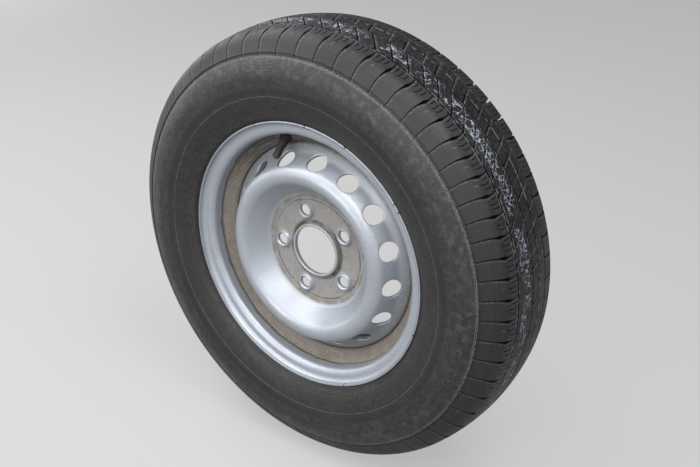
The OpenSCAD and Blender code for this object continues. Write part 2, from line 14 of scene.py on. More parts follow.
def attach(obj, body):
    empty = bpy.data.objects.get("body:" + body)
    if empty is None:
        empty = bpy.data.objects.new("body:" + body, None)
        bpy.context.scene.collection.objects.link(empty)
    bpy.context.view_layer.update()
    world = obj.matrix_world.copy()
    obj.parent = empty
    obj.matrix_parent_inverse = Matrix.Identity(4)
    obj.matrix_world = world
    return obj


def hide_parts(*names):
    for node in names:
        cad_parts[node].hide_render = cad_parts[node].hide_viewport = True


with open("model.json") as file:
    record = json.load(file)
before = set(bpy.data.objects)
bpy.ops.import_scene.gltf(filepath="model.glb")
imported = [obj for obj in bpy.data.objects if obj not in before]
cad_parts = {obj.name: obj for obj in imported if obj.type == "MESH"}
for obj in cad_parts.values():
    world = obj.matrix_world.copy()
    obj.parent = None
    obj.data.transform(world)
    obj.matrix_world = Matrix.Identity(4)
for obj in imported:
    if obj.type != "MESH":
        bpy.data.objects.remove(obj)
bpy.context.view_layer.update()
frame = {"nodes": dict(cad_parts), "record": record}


# Rim
# One strip of sheet steel, rolled to shape and butt welded, with a lip, a flange and a bead seat at each
# side of the well. It is sprayed silver, and its outer side has knocks and tan road dust, with painted shade
# in the well behind the disc and along the rim's upper part.

MM = 0.001
BEAD_R, FLANGE_Y, FLANGE_R, LIP_Y = 164.7, 57.15, 182.0, 67.65
RIM_T, FLANGE_ROUND, HEEL_ROUND, SEAT_SLOPE = 2.8, 9.5, 6.5, 5
WELL_R, WELL_OUT_Y, WELL_IN_Y = 147.4, -27.5, 10.0
HUMP_OUT_Y, HUMP_IN_Y, HUMP_RUN, HUMP_H, HUMP_ROUND, WELL_ROUND = -39.0, 21.5, 3.5, 1.2, 5.0, 8.0
NOSE_H = 1.0  # how far a sheet's rounded edge stands past its square end
VALVE_ANGLE = -17.6
RIM_COLUMNS = 256
CLEAR_COAT_ROUGHNESS = 0.25
KNOCKS = (-23.5, 2.8, 22.5, 50.9, 54.5, 106.0, 157.1)  # places round the lip, in degrees
KNOCK_HALF = 0.6


def heading(degrees):
    """Unit vectors [outwards, along the axle] at angles from the outward way."""
    a = np.radians(degrees)
    return np.stack([np.cos(a), np.sin(a)], -1)


def left(v):
    """The vector turned a quarter turn to the left."""
    return np.array([-v[1], v[0]])


def unit(v):
    """The vector made one long."""
    return v / np.linalg.norm(v)


def bent_path(corners, radii, steps):
    """Points and left normals along corners, each rounded by its radius."""
    c = [np.array(p, float) for p in corners]
    n0 = left(unit(c[1] - c[0]))
    pts, nrm = [c[0]], [n0]
    for i in range(1, len(c) - 1):
        u, v = unit(c[i] - c[i - 1]), unit(c[i + 1] - c[i])
        turn = math.atan2(u[0] * v[1] - u[1] * v[0], u @ v)
        side = np.sign(turn)
        r = radii[i]
        centre = c[i] - u * r * math.tan(abs(turn) / 2) + left(u) * side * r
        for k in range(steps + 1):
            a = turn * k / steps
            lu = left(u)
            n = np.array([lu[0] * math.cos(a) - lu[1] * math.sin(a),
                          lu[0] * math.sin(a) + lu[1] * math.cos(a)])
            pts.append(centre - n * side * r)
            nrm.append(n)
    pts.append(c[-1])
    nrm.append(left(unit(c[-1] - c[-2])))
    return np.array(pts), np.array(nrm)


def nose(p, n, t, out, depth, steps=6):
    """Rounded edge of a sheet, from its near to its far side."""
    a = np.pi * np.arange(1, steps) / steps
    mid = p + n * t / 2
    return mid - n * np.cos(a)[:, None] * t / 2 + out * np.sin(a)[:, None] * depth


class Surface:
    """Quads gathered from grids of points, with one vector of own values a point."""

    def __init__(self):
        self.points, self.quads, self.lay, self.count = [], [], [], 0

    def grid(self, p, flip=False, wrap_rows=False, lay=None):
        """Joins neighbours in a grid of points into quads, closed round the columns."""
        rows, cols = p.shape[:2]
        index = np.arange(rows * cols).reshape(rows, cols) + self.count
        index = np.concatenate([index, index[:, :1]], 1)
        if wrap_rows:
            index = np.concatenate([index, index[:1]], 0)
        q = np.stack([index[:-1, :-1], index[1:, :-1], index[1:, 1:], index[:-1, 1:]], -1)
        q = q.reshape(-1, 4)
        self.quads.append(q[:, ::-1] if flip else q)
        self.points.append(p.reshape(-1, 3))
        self.lay.append(np.zeros((rows * cols, 3)) if lay is None else lay.reshape(-1, 3))
        self.count += rows * cols

    def build(self, name, material, sharp=38):
        """Makes the mesh in metres, with edges sharper than sharp degrees kept crisp."""
        p = np.concatenate(self.points) * MM
        q = np.concatenate(self.quads)
        mesh = bpy.data.meshes.new(name)
        mesh.vertices.add(len(p))
        mesh.vertices.foreach_set("co", p.astype(np.float32).ravel())
        mesh.loops.add(q.size)
        mesh.loops.foreach_set("vertex_index", q.astype(np.int32).ravel())
        mesh.polygons.add(len(q))
        mesh.polygons.foreach_set("loop_start", np.arange(0, q.size, 4, dtype=np.int32))
        mesh.polygons.foreach_set("use_smooth", np.ones(len(q), bool))
        lay = mesh.attributes.new("lay", "FLOAT_VECTOR", "POINT")
        lay.data.foreach_set("vector", np.concatenate(self.lay).astype(np.float32).ravel())
        mesh.update(calc_edges=True)
        mesh.validate()
        mesh.set_sharp_from_angle(angle=math.radians(sharp))
        mesh.materials.append(material)
        obj = bpy.data.objects.new(name, mesh)
        bpy.context.scene.collection.objects.link(obj)
        return obj


def around(section, columns, start=0.0):
    """Grid of points of a section [radius, place along the axle] turned about the axle."""
    a = np.radians(start) + 2 * np.pi * np.arange(columns) / columns
    r, y = section[:, 0][:, None], section[:, 1][:, None]
    return np.stack([r * np.sin(a), y + 0 * a, r * np.cos(a)], -1)


def seat_r(y):
    """Radius of the sloping bead seats at a place along the axle."""
    return BEAD_R - (FLANGE_Y - abs(y)) * math.tan(math.radians(SEAT_SLOPE))


def rim_section():
    """Closed outline of the rim's sheet, from lip to lip and back along its other face."""
    out = [(FLANGE_R, NOSE_H - LIP_Y), (FLANGE_R, -FLANGE_Y), (BEAD_R, -FLANGE_Y),
           (seat_r(HUMP_OUT_Y - HUMP_RUN), HUMP_OUT_Y - HUMP_RUN),
           (seat_r(HUMP_OUT_Y) + HUMP_H, HUMP_OUT_Y), (WELL_R, WELL_OUT_Y),
           (WELL_R, WELL_IN_Y), (seat_r(HUMP_IN_Y) + HUMP_H, HUMP_IN_Y),
           (seat_r(HUMP_IN_Y + HUMP_RUN), HUMP_IN_Y + HUMP_RUN),
           (BEAD_R, FLANGE_Y), (FLANGE_R, FLANGE_Y), (FLANGE_R, LIP_Y - NOSE_H)]
    radii = [0, FLANGE_ROUND, HEEL_ROUND, HUMP_ROUND, HUMP_ROUND, WELL_ROUND,
             WELL_ROUND, HUMP_ROUND, HUMP_ROUND, HEEL_ROUND, FLANGE_ROUND, 0]
    p, n = bent_path(out, radii, 9)
    return np.concatenate([p, nose(p[-1], n[-1], RIM_T, np.array([0, 1.0]), NOSE_H),
                           (p + n * RIM_T)[::-1],
                           nose(p[0], n[0], RIM_T, np.array([0, -1.0]), NOSE_H)[::-1]])


def colour(code):
    """Linear colour of an sRGB hex code."""
    v = [int(code[i:i + 2], 16) / 255 for i in (0, 2, 4)]
    return (*[c / 12.92 if c <= 0.04045 else ((c + 0.055) / 1.055) ** 2.4 for c in v], 1.0)


class Paint:
    """A material and short names for the nodes that it's made of."""

    def __init__(self, name, **constants):
        self.mat = bpy.data.materials.new(name)
        self.mat.use_nodes = True
        self.tree = self.mat.node_tree
        self.bsdf = self.tree.nodes["Principled BSDF"]
        for key, value in constants.items():
            self.set(key.replace("_", " "), value)
        # Place on the piece in millimetres, and distance from the axle
        scaled = self.add("ShaderNodeVectorMath", operation="MULTIPLY")
        self.feed(scaled.inputs[0], self.add("ShaderNodeTexCoord").outputs["Object"])
        self.feed(scaled.inputs[1], (1 / MM, 1 / MM, 1 / MM))
        self.place = scaled.outputs[0]
        self.x, self.y, self.z = self.split(self.place)
        self.r = self.calc("SQRT", self.calc("ADD", self.calc("MULTIPLY", self.x, self.x),
                                             self.calc("MULTIPLY", self.z, self.z)))
        self.normal = None

    def add(self, kind, **props):
        """A new node with its properties set."""
        node = self.tree.nodes.new(kind)
        for key, value in props.items():
            setattr(node, key, value)
        return node

    def feed(self, socket, value):
        """Links a socket to another one, or gives it a constant."""
        if isinstance(value, bpy.types.NodeSocket):
            self.tree.links.new(value, socket)
        else:
            socket.default_value = value

    def set(self, name, value):
        """Feeds an input of the shader."""
        self.feed(self.bsdf.inputs[name], value)

    def calc(self, operation, *values):
        """One step of arithmetic."""
        node = self.add("ShaderNodeMath", operation=operation)
        for i, v in enumerate(values):
            self.feed(node.inputs[i], v)
        return node.outputs[0]

    def split(self, value):
        """The three parts of a vector or colour."""
        node = self.add("ShaderNodeSeparateXYZ")
        self.feed(node.inputs[0], value)
        return node.outputs

    def own(self):
        """The three own values that the surface laid on each point."""
        return self.split(self.add("ShaderNodeAttribute", attribute_name="lay").outputs["Vector"])

    def noise(self, scale, detail, vector=None):
        """Cloudy noise with about scale blots in a millimetre, or in a unit of vector."""
        node = self.add("ShaderNodeTexNoise")
        self.feed(node.inputs["Vector"], self.place if vector is None else vector)
        self.feed(node.inputs["Scale"], scale)
        self.feed(node.inputs["Detail"], detail)
        return node.outputs[0]

    def streaks(self, scale, drift):
        """Noise drawn out round the axle, which changes slowly along each ring."""
        node = self.add("ShaderNodeCombineXYZ")
        for i, v in enumerate((self.r, self.y, self.times(drift, 30.0))):
            self.feed(node.inputs[i], v)
        return self.noise(scale, 3.0, node.outputs[0])

    def specks(self, spacing, size):
        """Small round dots of about size millimetres, one or none in each cell of spacing."""
        node = self.add("ShaderNodeTexVoronoi")
        self.feed(node.inputs["Vector"], self.place)
        self.feed(node.inputs["Scale"], 1 / spacing)
        near = self.calc("MULTIPLY", node.outputs["Distance"], spacing)
        chosen = self.span(self.split(node.outputs["Color"])[0], 0.45, 0.55)
        return self.times(self.span(near, size * 0.35, size * 0.6, 1.0, 0.0), chosen)

    def span(self, value, low, high, to_low=0.0, to_high=1.0):
        """Smooth step from to_low to to_high as value goes from low to high."""
        node = self.add("ShaderNodeMapRange", interpolation_type="SMOOTHSTEP")
        for name, v in (("Value", value), ("From Min", low), ("From Max", high),
                        ("To Min", to_low), ("To Max", to_high)):
            self.feed(node.inputs[name], v)
        return node.outputs[0]

    def band(self, value, middle, half, soft):
        """1 within half of middle, and 0 beyond half + soft."""
        off = self.calc("ABSOLUTE", self.calc("SUBTRACT", value, middle))
        return self.span(off, half, half + soft, 1.0, 0.0)

    def mix(self, factor, a, b):
        """Colour between a and b."""
        node = self.add("ShaderNodeMix", data_type="RGBA")
        self.feed(node.inputs[0], factor)
        self.feed(node.inputs[6], a)
        self.feed(node.inputs[7], b)
        return node.outputs[2]

    def blend(self, factor, a, b):
        """Number between a and b."""
        node = self.add("ShaderNodeMix", data_type="FLOAT")
        self.feed(node.inputs[0], factor)
        self.feed(node.inputs[2], a)
        self.feed(node.inputs[3], b)
        return node.outputs[0]

    def most(self, *values):
        """Largest of the values."""
        out = values[0]
        for v in values[1:]:
            out = self.calc("MAXIMUM", out, v)
        return out

    def times(self, *values):
        """Product of the values."""
        out = values[0]
        for v in values[1:]:
            out = self.calc("MULTIPLY", out, v)
        return out

    def bump(self, height, distance):
        """Adds relief: height 1 stands distance millimetres out."""
        node = self.add("ShaderNodeBump")
        self.feed(node.inputs["Height"], height)
        self.feed(node.inputs["Distance"], distance * MM)
        self.feed(node.inputs["Strength"], 1.0)
        if self.normal is not None:
            self.feed(node.inputs["Normal"], self.normal)
        self.normal = node.outputs[0]
        self.set("Normal", self.normal)


def steel_paint(name, dusty, marks=None):
    """Silver lacquer sprayed on pressed steel. Fine flakes and a thin clear coat give it a satin shine, and
    dusty(m, cloud) says where dried road dust and painted shade lie: [how much, how brown]. Past a brownness
    of 1 the colour turns to near black, which is painted shade."""
    m = Paint(name, Coat_Roughness=CLEAR_COAT_ROUGHNESS)
    fine, cloud, grain = m.noise(1.6, 2.0), m.noise(0.03, 4.0), m.noise(0.9, 5.0)
    flakes = m.span(fine, 0.3, 0.7)
    base = m.mix(flakes, colour("878C94"), colour("A1A6AE"))
    base = m.mix(m.span(cloud, 0.45, 0.75, 0.0, 0.35), base, colour("888A8F"))
    dust, brown = dusty(m, cloud)
    grey_mud = m.mix(m.span(grain, 0.35, 0.7), colour("6C6964"), colour("8E8A84"))
    brown_mud = m.mix(m.span(grain, 0.3, 0.7), colour("443B32"), colour("7B6F60"))
    mud = m.mix(brown, grey_mud, brown_mud)
    # Brownness past 1 turns towards near black: painted shade
    mud = m.mix(m.span(brown, 1.0, 2.0, 0.0, 0.75), mud, colour("231E1A"))
    m.set("Base Color", m.mix(dust, base, mud))
    m.set("Metallic", m.blend(dust, 0.55, 0.0))
    m.set("Roughness", m.blend(dust, m.blend(flakes, 0.36, 0.42), 0.85))
    m.set("Coat Weight", m.blend(dust, 0.25, 0.0))
    if marks:
        marks(m)
    m.bump(m.noise(0.9, 3.0), 0.02)
    return m.mat


def rim_dust_and_shade(m, _):
    """Tan dust from the hump down into the well, with a dark line at its edge by the hump. Painted shade in
    near black lies on the well past the disc's edge, behind the disc and along the rim's upper part."""
    lines, blots = m.streaks(0.5, m.noise(0.012, 2.0)), m.noise(0.06, 5.0)
    wander = m.times(m.calc("SUBTRACT", blots, 0.5), 7.0)
    place = m.calc("ADD", m.y, wander)
    well = m.times(m.span(place, -46.0, -43.0), m.span(m.r, 163.5, 161.5))
    # Dark line at the dust's edge by the hump, and painted shade on the well past the disc's edge
    outline = m.most(m.band(place, -42.5, 0.8, 1.8), m.span(m.y, -31.0, -27.0))
    # Painted shade on the well behind the disc, seen through the vents and the gap
    behind = m.times(m.span(m.y, -19.0, -15.0), m.span(m.r, 165.0, 163.0))
    amount = m.most(m.times(well, m.span(lines, 0.3, 0.6, 0.75, 1.0)), m.times(behind, 0.92))
    brown = m.span(m.calc("ADD", lines, blots), 0.8, 1.25, 1.0, 0.35)
    # Painted shade along the rim's upper part
    shade = m.span(m.z, 20.0, 130.0)
    return amount, m.most(brown, m.times(outline, 1.6), m.times(shade, 1.9), m.times(behind, 2.0))


def rim_marks(m):
    """Short dark knocks in the rim's lip, left by tyre levers, and a fine dark line round it."""
    knocks = []
    for i, a in enumerate(KNOCKS):
        a = math.radians(a)
        along = m.calc("SUBTRACT", m.times(m.x, math.cos(a)), m.times(m.z, math.sin(a)))
        ahead = m.calc("ADD", m.times(m.x, math.sin(a)), m.times(m.z, math.cos(a)))
        half = KNOCK_HALF + 0.2 * (i % 3)
        knocks.append(m.times(m.band(along, 0.0, half, 0.35), m.span(ahead, 175.0, 177.0)))
    line = m.times(m.band(m.r, 180.0, 0.25, 0.5), 0.5)
    found = m.times(m.most(*knocks, line), m.span(m.y, -62.5, -64.5))
    old = m.bsdf.inputs["Base Color"].links[0].from_socket
    m.set("Base Color", m.mix(m.times(found, 0.85), old, colour("1A1816")))
    m.bump(m.calc("MULTIPLY", found, -1.0), 0.5)


rim = Surface()
rim.grid(around(rim_section(), RIM_COLUMNS, VALVE_ANGLE), flip=True, wrap_rows=True)
rim_obj = rim.build("rim_shell", steel_paint("silver_paint_rim", rim_dust_and_shade, rim_marks))
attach(rim_obj, "wheel")
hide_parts("rim")


# Disc
# Pressed from one sheet of steel, with a dished hub, a round crown and vents in its flank, and
# welded into the rim's well. Five seats are raised round the bolt holes, and the bore has a collar.

DISC_T, HUB_Y, COLLAR_R, COLLAR_Y = 3.6, -33.6, 36.9, -38.2
CROWN_R, CROWN_Y, CROWN_ROUND = 109.0, -64.3, 15.0
WALL_ANGLE, FLANK_ANGLE, FLARE_ANGLE, FLARE_BACK = 52.6, 30.0, 47.0, 25.8
DISC_R, FLANGE_W = 144.55, 29.0
COLLAR_ROUND, BOWL_ROUND, FLARE_ROUND, FLANGE_BEND = 0.8, 14, 25, 8
VENTS, VENT_R, VENT_BACK = 16, 13.0, 17.8
BOLTS, BOLT_CIRCLE_R = 5, 56.0
COLUMNS, FRAME_ROWS = 320, 14
SEAT_FRAME = (38.6, 71.1)  # radii on the hub face that the bolt seats' patches span
VENT_FRAME = (-16.5, 16.0)  # lengths from a vent's middle that the vents' patches span
SEAT_ROWS = [  # [distance from the bolt hole's axis, height over the hub face]
    (15.6, 0.0), (14.5, 0.05), (13.4, 0.35), (12.5, 1.1), (11.7, 2.4), (11.1, 3.5), (10.65, 4.1),
    (10.2, 4.38), (9.7, 4.4), (9.35, 4.25), (9.1, 3.95), (7.75, 2.75), (7.5, 2.45), (7.5, -0.6),
    (8.2, -1.3), (10.4, -3.3), (10.9, -3.6)]


def meet(p, u, q, v):
    """Point where the line from p along u meets the line from q along v."""
    cross = lambda a, b: a[0] * b[1] - a[1] * b[0]
    return p + u * cross(q - p, v) / cross(u, v)


def disc_path():
    """Outer face of the disc's sheet from the collar to the end of its flange, with its normals,
    the place of the vents and the way along the flank."""
    crown = np.array([CROWN_R, CROWN_Y + CROWN_ROUND])
    wall, flank = heading(-WALL_ANGLE), heading(90 - FLANK_ANGLE)
    flare = heading(90 - FLARE_ANGLE)
    wall_point = crown - left(wall) * CROWN_ROUND
    flank_point = crown - left(flank) * CROWN_ROUND
    flare_corner = meet(flank_point, flank, np.array([0, CROWN_Y + FLARE_BACK]), np.array([1.0, 0]))
    flange_corner = meet(flare_corner, flare, np.array([DISC_R, 0]), np.array([0, 1.0]))
    end_y = flange_corner[1] + FLANGE_W
    corners = [(COLLAR_R, COLLAR_Y + NOSE_H), (COLLAR_R, HUB_Y),
               meet(np.array([0, HUB_Y]), np.array([1.0, 0]), wall_point, wall),
               meet(wall_point, wall, flank_point, flank), flare_corner, flange_corner,
               (DISC_R, end_y - NOSE_H)]
    radii = [0, COLLAR_ROUND, BOWL_ROUND, CROWN_ROUND, FLARE_ROUND, FLANGE_BEND, 0]
    p, n = bent_path(corners, radii, 14)
    vent = meet(flank_point, flank, np.array([0, CROWN_Y + VENT_BACK]), np.array([1.0, 0]))
    return p, n, vent, flank


PATH, NORMALS, VENT_AT, FLANK_WAY = disc_path()
ALONG = np.concatenate([[0], np.cumsum(np.linalg.norm(np.diff(PATH, axis=0), axis=1))])


def on_disc(s, depth, a):
    """Points of the disc at lengths s along its section and angles a, sunk by depth."""
    p = np.stack([np.interp(s, ALONG, PATH[:, k]) for k in (0, 1)], -1)
    n = np.stack([np.interp(s, ALONG, NORMALS[:, k]) for k in (0, 1)], -1)
    n /= np.linalg.norm(n, axis=-1, keepdims=True)
    q = p + n * np.asarray(depth)[..., None]
    return np.stack([q[..., 0] * np.sin(a), q[..., 1] + 0 * a, q[..., 0] * np.cos(a)], -1)


def length_at(point):
    """Length along the disc's section at its nearest place to a point."""
    return min(
        ((np.linalg.norm(point - (PATH[i] + (PATH[i + 1] - PATH[i]) * f)),
          ALONG[i] + (ALONG[i + 1] - ALONG[i]) * f)
         for i in range(len(PATH) - 1) for f in np.linspace(0, 1, 21)), key=lambda q: q[0])[1]


def frame_points(half_angle, s_low, s_high, across, along):
    """Points round a patch's frame in [angle, length], counter-clockwise from its low left corner."""
    a = np.linspace(-half_angle, half_angle, across + 1)
    s = np.linspace(s_low, s_high, along + 1)
    return np.concatenate([
        np.stack([a[:-1], np.full(across, s_low)], -1),
        np.stack([np.full(along, half_angle), s[:-1]], -1),
        np.stack([a[:0:-1], np.full(across, s_high)], -1),
        np.stack([np.full(along, -half_angle), s[:0:-1]], -1)])


def vent_ring(radius, turn, s_mid):
    """Circle of a vent drill of that radius where it meets the flank, in [angle, length]."""
    x, q = radius * np.cos(turn), radius * np.sin(turn)
    s = s_mid + q
    for _ in range(6):
        p = np.stack([np.interp(s, ALONG, PATH[:, k]) for k in (0, 1)], -1)
        a = np.arcsin(x / p[:, 0])
        now = (p[:, 0] * np.cos(a) - VENT_AT[0]) * FLANK_WAY[0] + (p[:, 1] - VENT_AT[1]) * FLANK_WAY[1]
        s = s + (q - now)
    return np.stack([a, s], -1)


def seat_ring(radius, turn, s_flat):
    """Circle round a bolt hole's axis on the flat hub face, in [angle, length]."""
    x, q = radius * np.cos(turn), BOLT_CIRCLE_R + radius * np.sin(turn)
    return np.stack([np.arctan2(x, q), s_flat + np.hypot(x, q)], -1)


def disc_patches():
    """All vents and bolt seats, and the plain rings between them."""
    s = Surface()
    flat = np.argmax(np.abs(NORMALS[:, 1] - 1) < 1e-6)  # where the flat hub face begins
    s_flat = ALONG[flat] - PATH[flat, 0]
    seat_low, seat_high = s_flat + SEAT_FRAME[0], s_flat + SEAT_FRAME[1]
    s_vent = length_at(VENT_AT)
    vent_low, vent_high = s_vent + VENT_FRAME[0], s_vent + VENT_FRAME[1]
    start = math.radians(VALVE_ANGLE)

    def ring(low, high, depth):
        """Points of a plain ring between two lengths, sunk by depth."""
        keys = np.array([low] + [v for v in ALONG if low + 0.05 < v < high - 0.05] + [high])
        a = start + 2 * np.pi * np.arange(COLUMNS) / COLUMNS
        return on_disc(keys[:, None] + 0 * a, np.full((len(keys), COLUMNS), depth), a + 0 * keys[:, None])

    # Collar, with its rounded edge, the flange's end, and the rings between seats and vents
    front, back = ring(0, seat_low, 0.0), ring(0, seat_low, DISC_T)
    tip = around(nose(PATH[0], NORMALS[0], DISC_T, np.array([0, -1.0]), NOSE_H), COLUMNS, VALVE_ANGLE)
    s.grid(np.concatenate([back[::-1], tip[::-1], front]), flip=True)
    front, back = ring(vent_high, ALONG[-1], 0.0), ring(vent_high, ALONG[-1], DISC_T)
    tip = around(nose(PATH[-1], NORMALS[-1], DISC_T, np.array([0, 1.0]), NOSE_H), COLUMNS, VALVE_ANGLE)
    s.grid(np.concatenate([front, tip, back[::-1]]), flip=True)
    s.grid(ring(seat_high, vent_low, 0.0), flip=True)
    s.grid(ring(seat_high, vent_low, DISC_T))

    # Bolt seats
    across = COLUMNS // BOLTS
    edge = frame_points(np.pi / BOLTS, seat_low, seat_high, across, FRAME_ROWS)
    q = edge[:, 1] - s_flat
    turn = np.arctan2(q * np.cos(edge[:, 0]) - BOLT_CIRCLE_R, q * np.sin(edge[:, 0]))
    rings, depths = [], []
    first = seat_ring(SEAT_ROWS[0][0], turn, s_flat)
    for f in (1.0, 0.7, 0.4, 0.18):
        rings.append(first + (edge - first) * f)
        depths.append(0.0)
    for radius, h in SEAT_ROWS:
        rings.append(seat_ring(radius, turn, s_flat))
        depths.append(-h)
    last = rings[-1]
    for f in (0.25, 0.6, 1.0):
        rings.append(last + (edge - last) * f)
        depths.append(DISC_T)
    rings = np.array(rings)
    for i in range(BOLTS):
        a = rings[..., 0] + start + 2 * np.pi * i / BOLTS
        s.grid(on_disc(rings[..., 1], np.repeat(np.array(depths)[:, None], len(edge), 1), a))

    # Vents
    across = COLUMNS // VENTS
    edge = frame_points(np.pi / VENTS, vent_low, vent_high, across, FRAME_ROWS)
    p = np.stack([np.interp(edge[:, 1], ALONG, PATH[:, k]) for k in (0, 1)], -1)
    x = p[:, 0] * np.sin(edge[:, 0])
    q = (p[:, 0] * np.cos(edge[:, 0]) - VENT_AT[0]) * FLANK_WAY[0] + (p[:, 1] - VENT_AT[1]) * FLANK_WAY[1]
    turn = np.arctan2(q, x)
    rings, depths = [], []
    first = vent_ring(VENT_R + 1.0, turn, s_vent)
    for f in (1.0, 0.75, 0.5, 0.25, 0.0):
        rings.append(first + (edge - first) * f)
        depths.append(0.0)
    for extra, depth in ((0.45, 0.1), (0.12, 0.35), (0.0, 0.8), (0.0, DISC_T - 0.5),
                         (0.15, DISC_T - 0.15), (0.5, DISC_T)):
        rings.append(vent_ring(VENT_R + extra, turn, s_vent))
        depths.append(depth)
    last = rings[-1]
    for f in (0.3, 0.65, 1.0):
        rings.append(last + (edge - last) * f)
        depths.append(DISC_T)
    rings = np.array(rings)
    for i in range(VENTS):
        a = rings[..., 0] + start + 2 * np.pi * i / VENTS
        s.grid(on_disc(rings[..., 1], np.repeat(np.array(depths)[:, None], len(edge), 1), a))
    return s


def disc_dust_and_shade(m, cloud):
    """Grey dust on the hub face, brown dirt round its edge and at the collar, painted shade in brown on the
    bowl's upper wall by the hub, and darker brown patches by the flange where it meets the rim.
    """
    grain, blots = m.noise(0.25, 5.0), m.noise(0.06, 5.0)
    spots, soft = m.span(grain, 0.35, 0.65), m.span(blots, 0.36, 0.62)
    # Painted shade: brown on the upper part of the bowl's wall by the hub, which faces down
    painted_shade_upper = m.times(m.span(m.r, 90.0, 76.0), m.span(m.z, 20.0, 70.0), m.span(m.y, -48.0, -38.0), 0.5)
    edge = m.most(m.times(m.band(m.r, 74.8, 1.6, 3.6), m.span(m.y, -40.5, -36.5)), painted_shade_upper)
    collar = m.times(m.band(m.r, 39.5, 2.0, 4.0), m.span(m.y, -37.5, -36.0))
    face = m.times(m.span(m.r, 78.0, 73.0), m.span(m.y, -36.0, -34.4))
    foot = m.times(m.span(m.r, 136.0, 143.0), m.span(m.y, -34.0, -29.0))
    brown = m.most(m.times(edge, m.blend(soft, 0.55, 0.9)), m.times(collar, m.blend(soft, 0.3, 0.95)),
                   m.times(foot, m.blend(spots, 0.5, 0.95)))
    amount = m.most(brown, m.times(face, m.blend(spots, 0.7, 0.88)))
    return amount, m.most(m.times(brown, m.blend(soft, 0.35, 0.85)), m.span(cloud, 0.4, 0.7, 0.0, 0.3))


def hub_marks(m):
    """Pressed step round the hub face, with a painted highlight along it and painted shade in brown just
    inside it, and dirt at the collar.
    """
    flat, soft = m.span(m.y, -36.5, -35.0), m.span(m.noise(0.05, 4.0), 0.38, 0.6)
    step = m.times(m.band(m.r, 71.9, 0.3, 0.6), flat)
    # Brown band just inside the step: painted shade; the band at the collar is dirt
    dirt_and_step_shade = m.most(m.times(m.band(m.r, 70.2, 0.5, 1.6), 0.8), m.band(m.r, 39.8, 0.8, 3.0))
    old = m.bsdf.inputs["Base Color"].links[0].from_socket
    base = m.mix(m.times(dirt_and_step_shade, flat, m.blend(soft, 0.25, 0.9)), old, colour("352D26"))
    # Pale ring along the step: painted highlight
    m.set("Base Color", m.mix(m.times(step, 0.5), base, colour("AAA8A3")))
    m.bump(step, 0.4)


disc_obj = disc_patches().build("disc_shell", steel_paint("silver_paint_disc", disc_dust_and_shade, hub_marks), 50)
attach(disc_obj, "wheel")
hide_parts("disc")


# Tyre
# One moulding of rubber over cords, seated in the rim. The tread has four grooves round it, bent
# slots over both shoulders and slanted slots in the ribs, with a thin ridge below each shoulder.

TYRE_R, TREAD_CURVE, SHOULDER_Y, SHOULDER_ROUND = 298.0, 218.0, 40.7, 30.0
WIDE, RIDGE = (238.0, 83.0), (263.7, 74.2)  # widest place and ridge: [radius, place along the axle]
TREAD_T, SIDE_T, TOE_Y = 15, 7, 43.7
GROOVES = (-36.0, -6.5, 10.5, 28.0)
GROOVE_W, WIDE_GROOVE_W, GROOVE_H = 2.4, 3.6, 6.5
SLOTS, SLOT_W, SLOT_H, SLOT_SWAY, SLOT_WAVE, PITCH_SWAY = 67, 2.6, 7.0, 1.8, 340, 2.4
SLOT_PLACES = (0, 0.15, 0.33, 0.41, 0.55, 0.7, 1)  # along a slot, where its width is these shares of SLOT_W:
NEAR_SLOT_WIDTHS = (0.4, 0.45, 1.0, 1.6, 0.85, 0.4, 0.25)
FAR_SLOT_WIDTHS = (0.5, 0.7, 1.1, 1.4, 1.5, 1.4, 0.3)
SIPES = ((0.2, 11.5), (0.45, 16.0), (0.7, 13.5))  # place across a block, and where it ends
SIPE_START, SIPE_HALF, SIPE_H, SIPE_HOOK, SIPE_HOOK_RUN = 3.8, 0.028, 2.4, 0.06, 3
RIB_SLOTS, RIB_SLOT_W, RIB_SLOT_H, WIDE_SLANT, MIDDLE_SLANT = 80, 1.4, 5.0, 43.0, 24.0
END_RUN = 0.12  # run of the wall at a rib slot's end
SIDE_COLUMNS = 180
RIBBING = 1.5  # pitch of the fine ribs by the ridge, drawn coarser than real so that they show

TREAD_CENTRE = TYRE_R - TREAD_CURVE
SHOULDER_AT = np.array([
    TREAD_CENTRE + math.sqrt((TREAD_CURVE - SHOULDER_ROUND) ** 2 - SHOULDER_Y ** 2), SHOULDER_Y])
EDGE_ANGLE = math.degrees(math.atan2(SHOULDER_Y, SHOULDER_AT[0] - TREAD_CENTRE))
EDGE_Y = TREAD_CURVE * math.sin(math.radians(EDGE_ANGLE))
SHOULDER_END = 64.0


def tread_row(y, groove=0.0):
    """Row on the tread at y: [radius, y, normal r, normal y, groove depth]."""
    b = math.asin(y / TREAD_CURVE)
    return [TREAD_CENTRE + TREAD_CURVE * math.cos(b), y, math.cos(b), math.sin(b), groove]


def groove_rows(y, width, way):
    """Rows from a groove's middle up its side, towards growing y for way 1."""
    return [tread_row(y, GROOVE_H), tread_row(y + way * 0.3 * width, GROOVE_H),
            tread_row(y + way * 0.5 * width)]


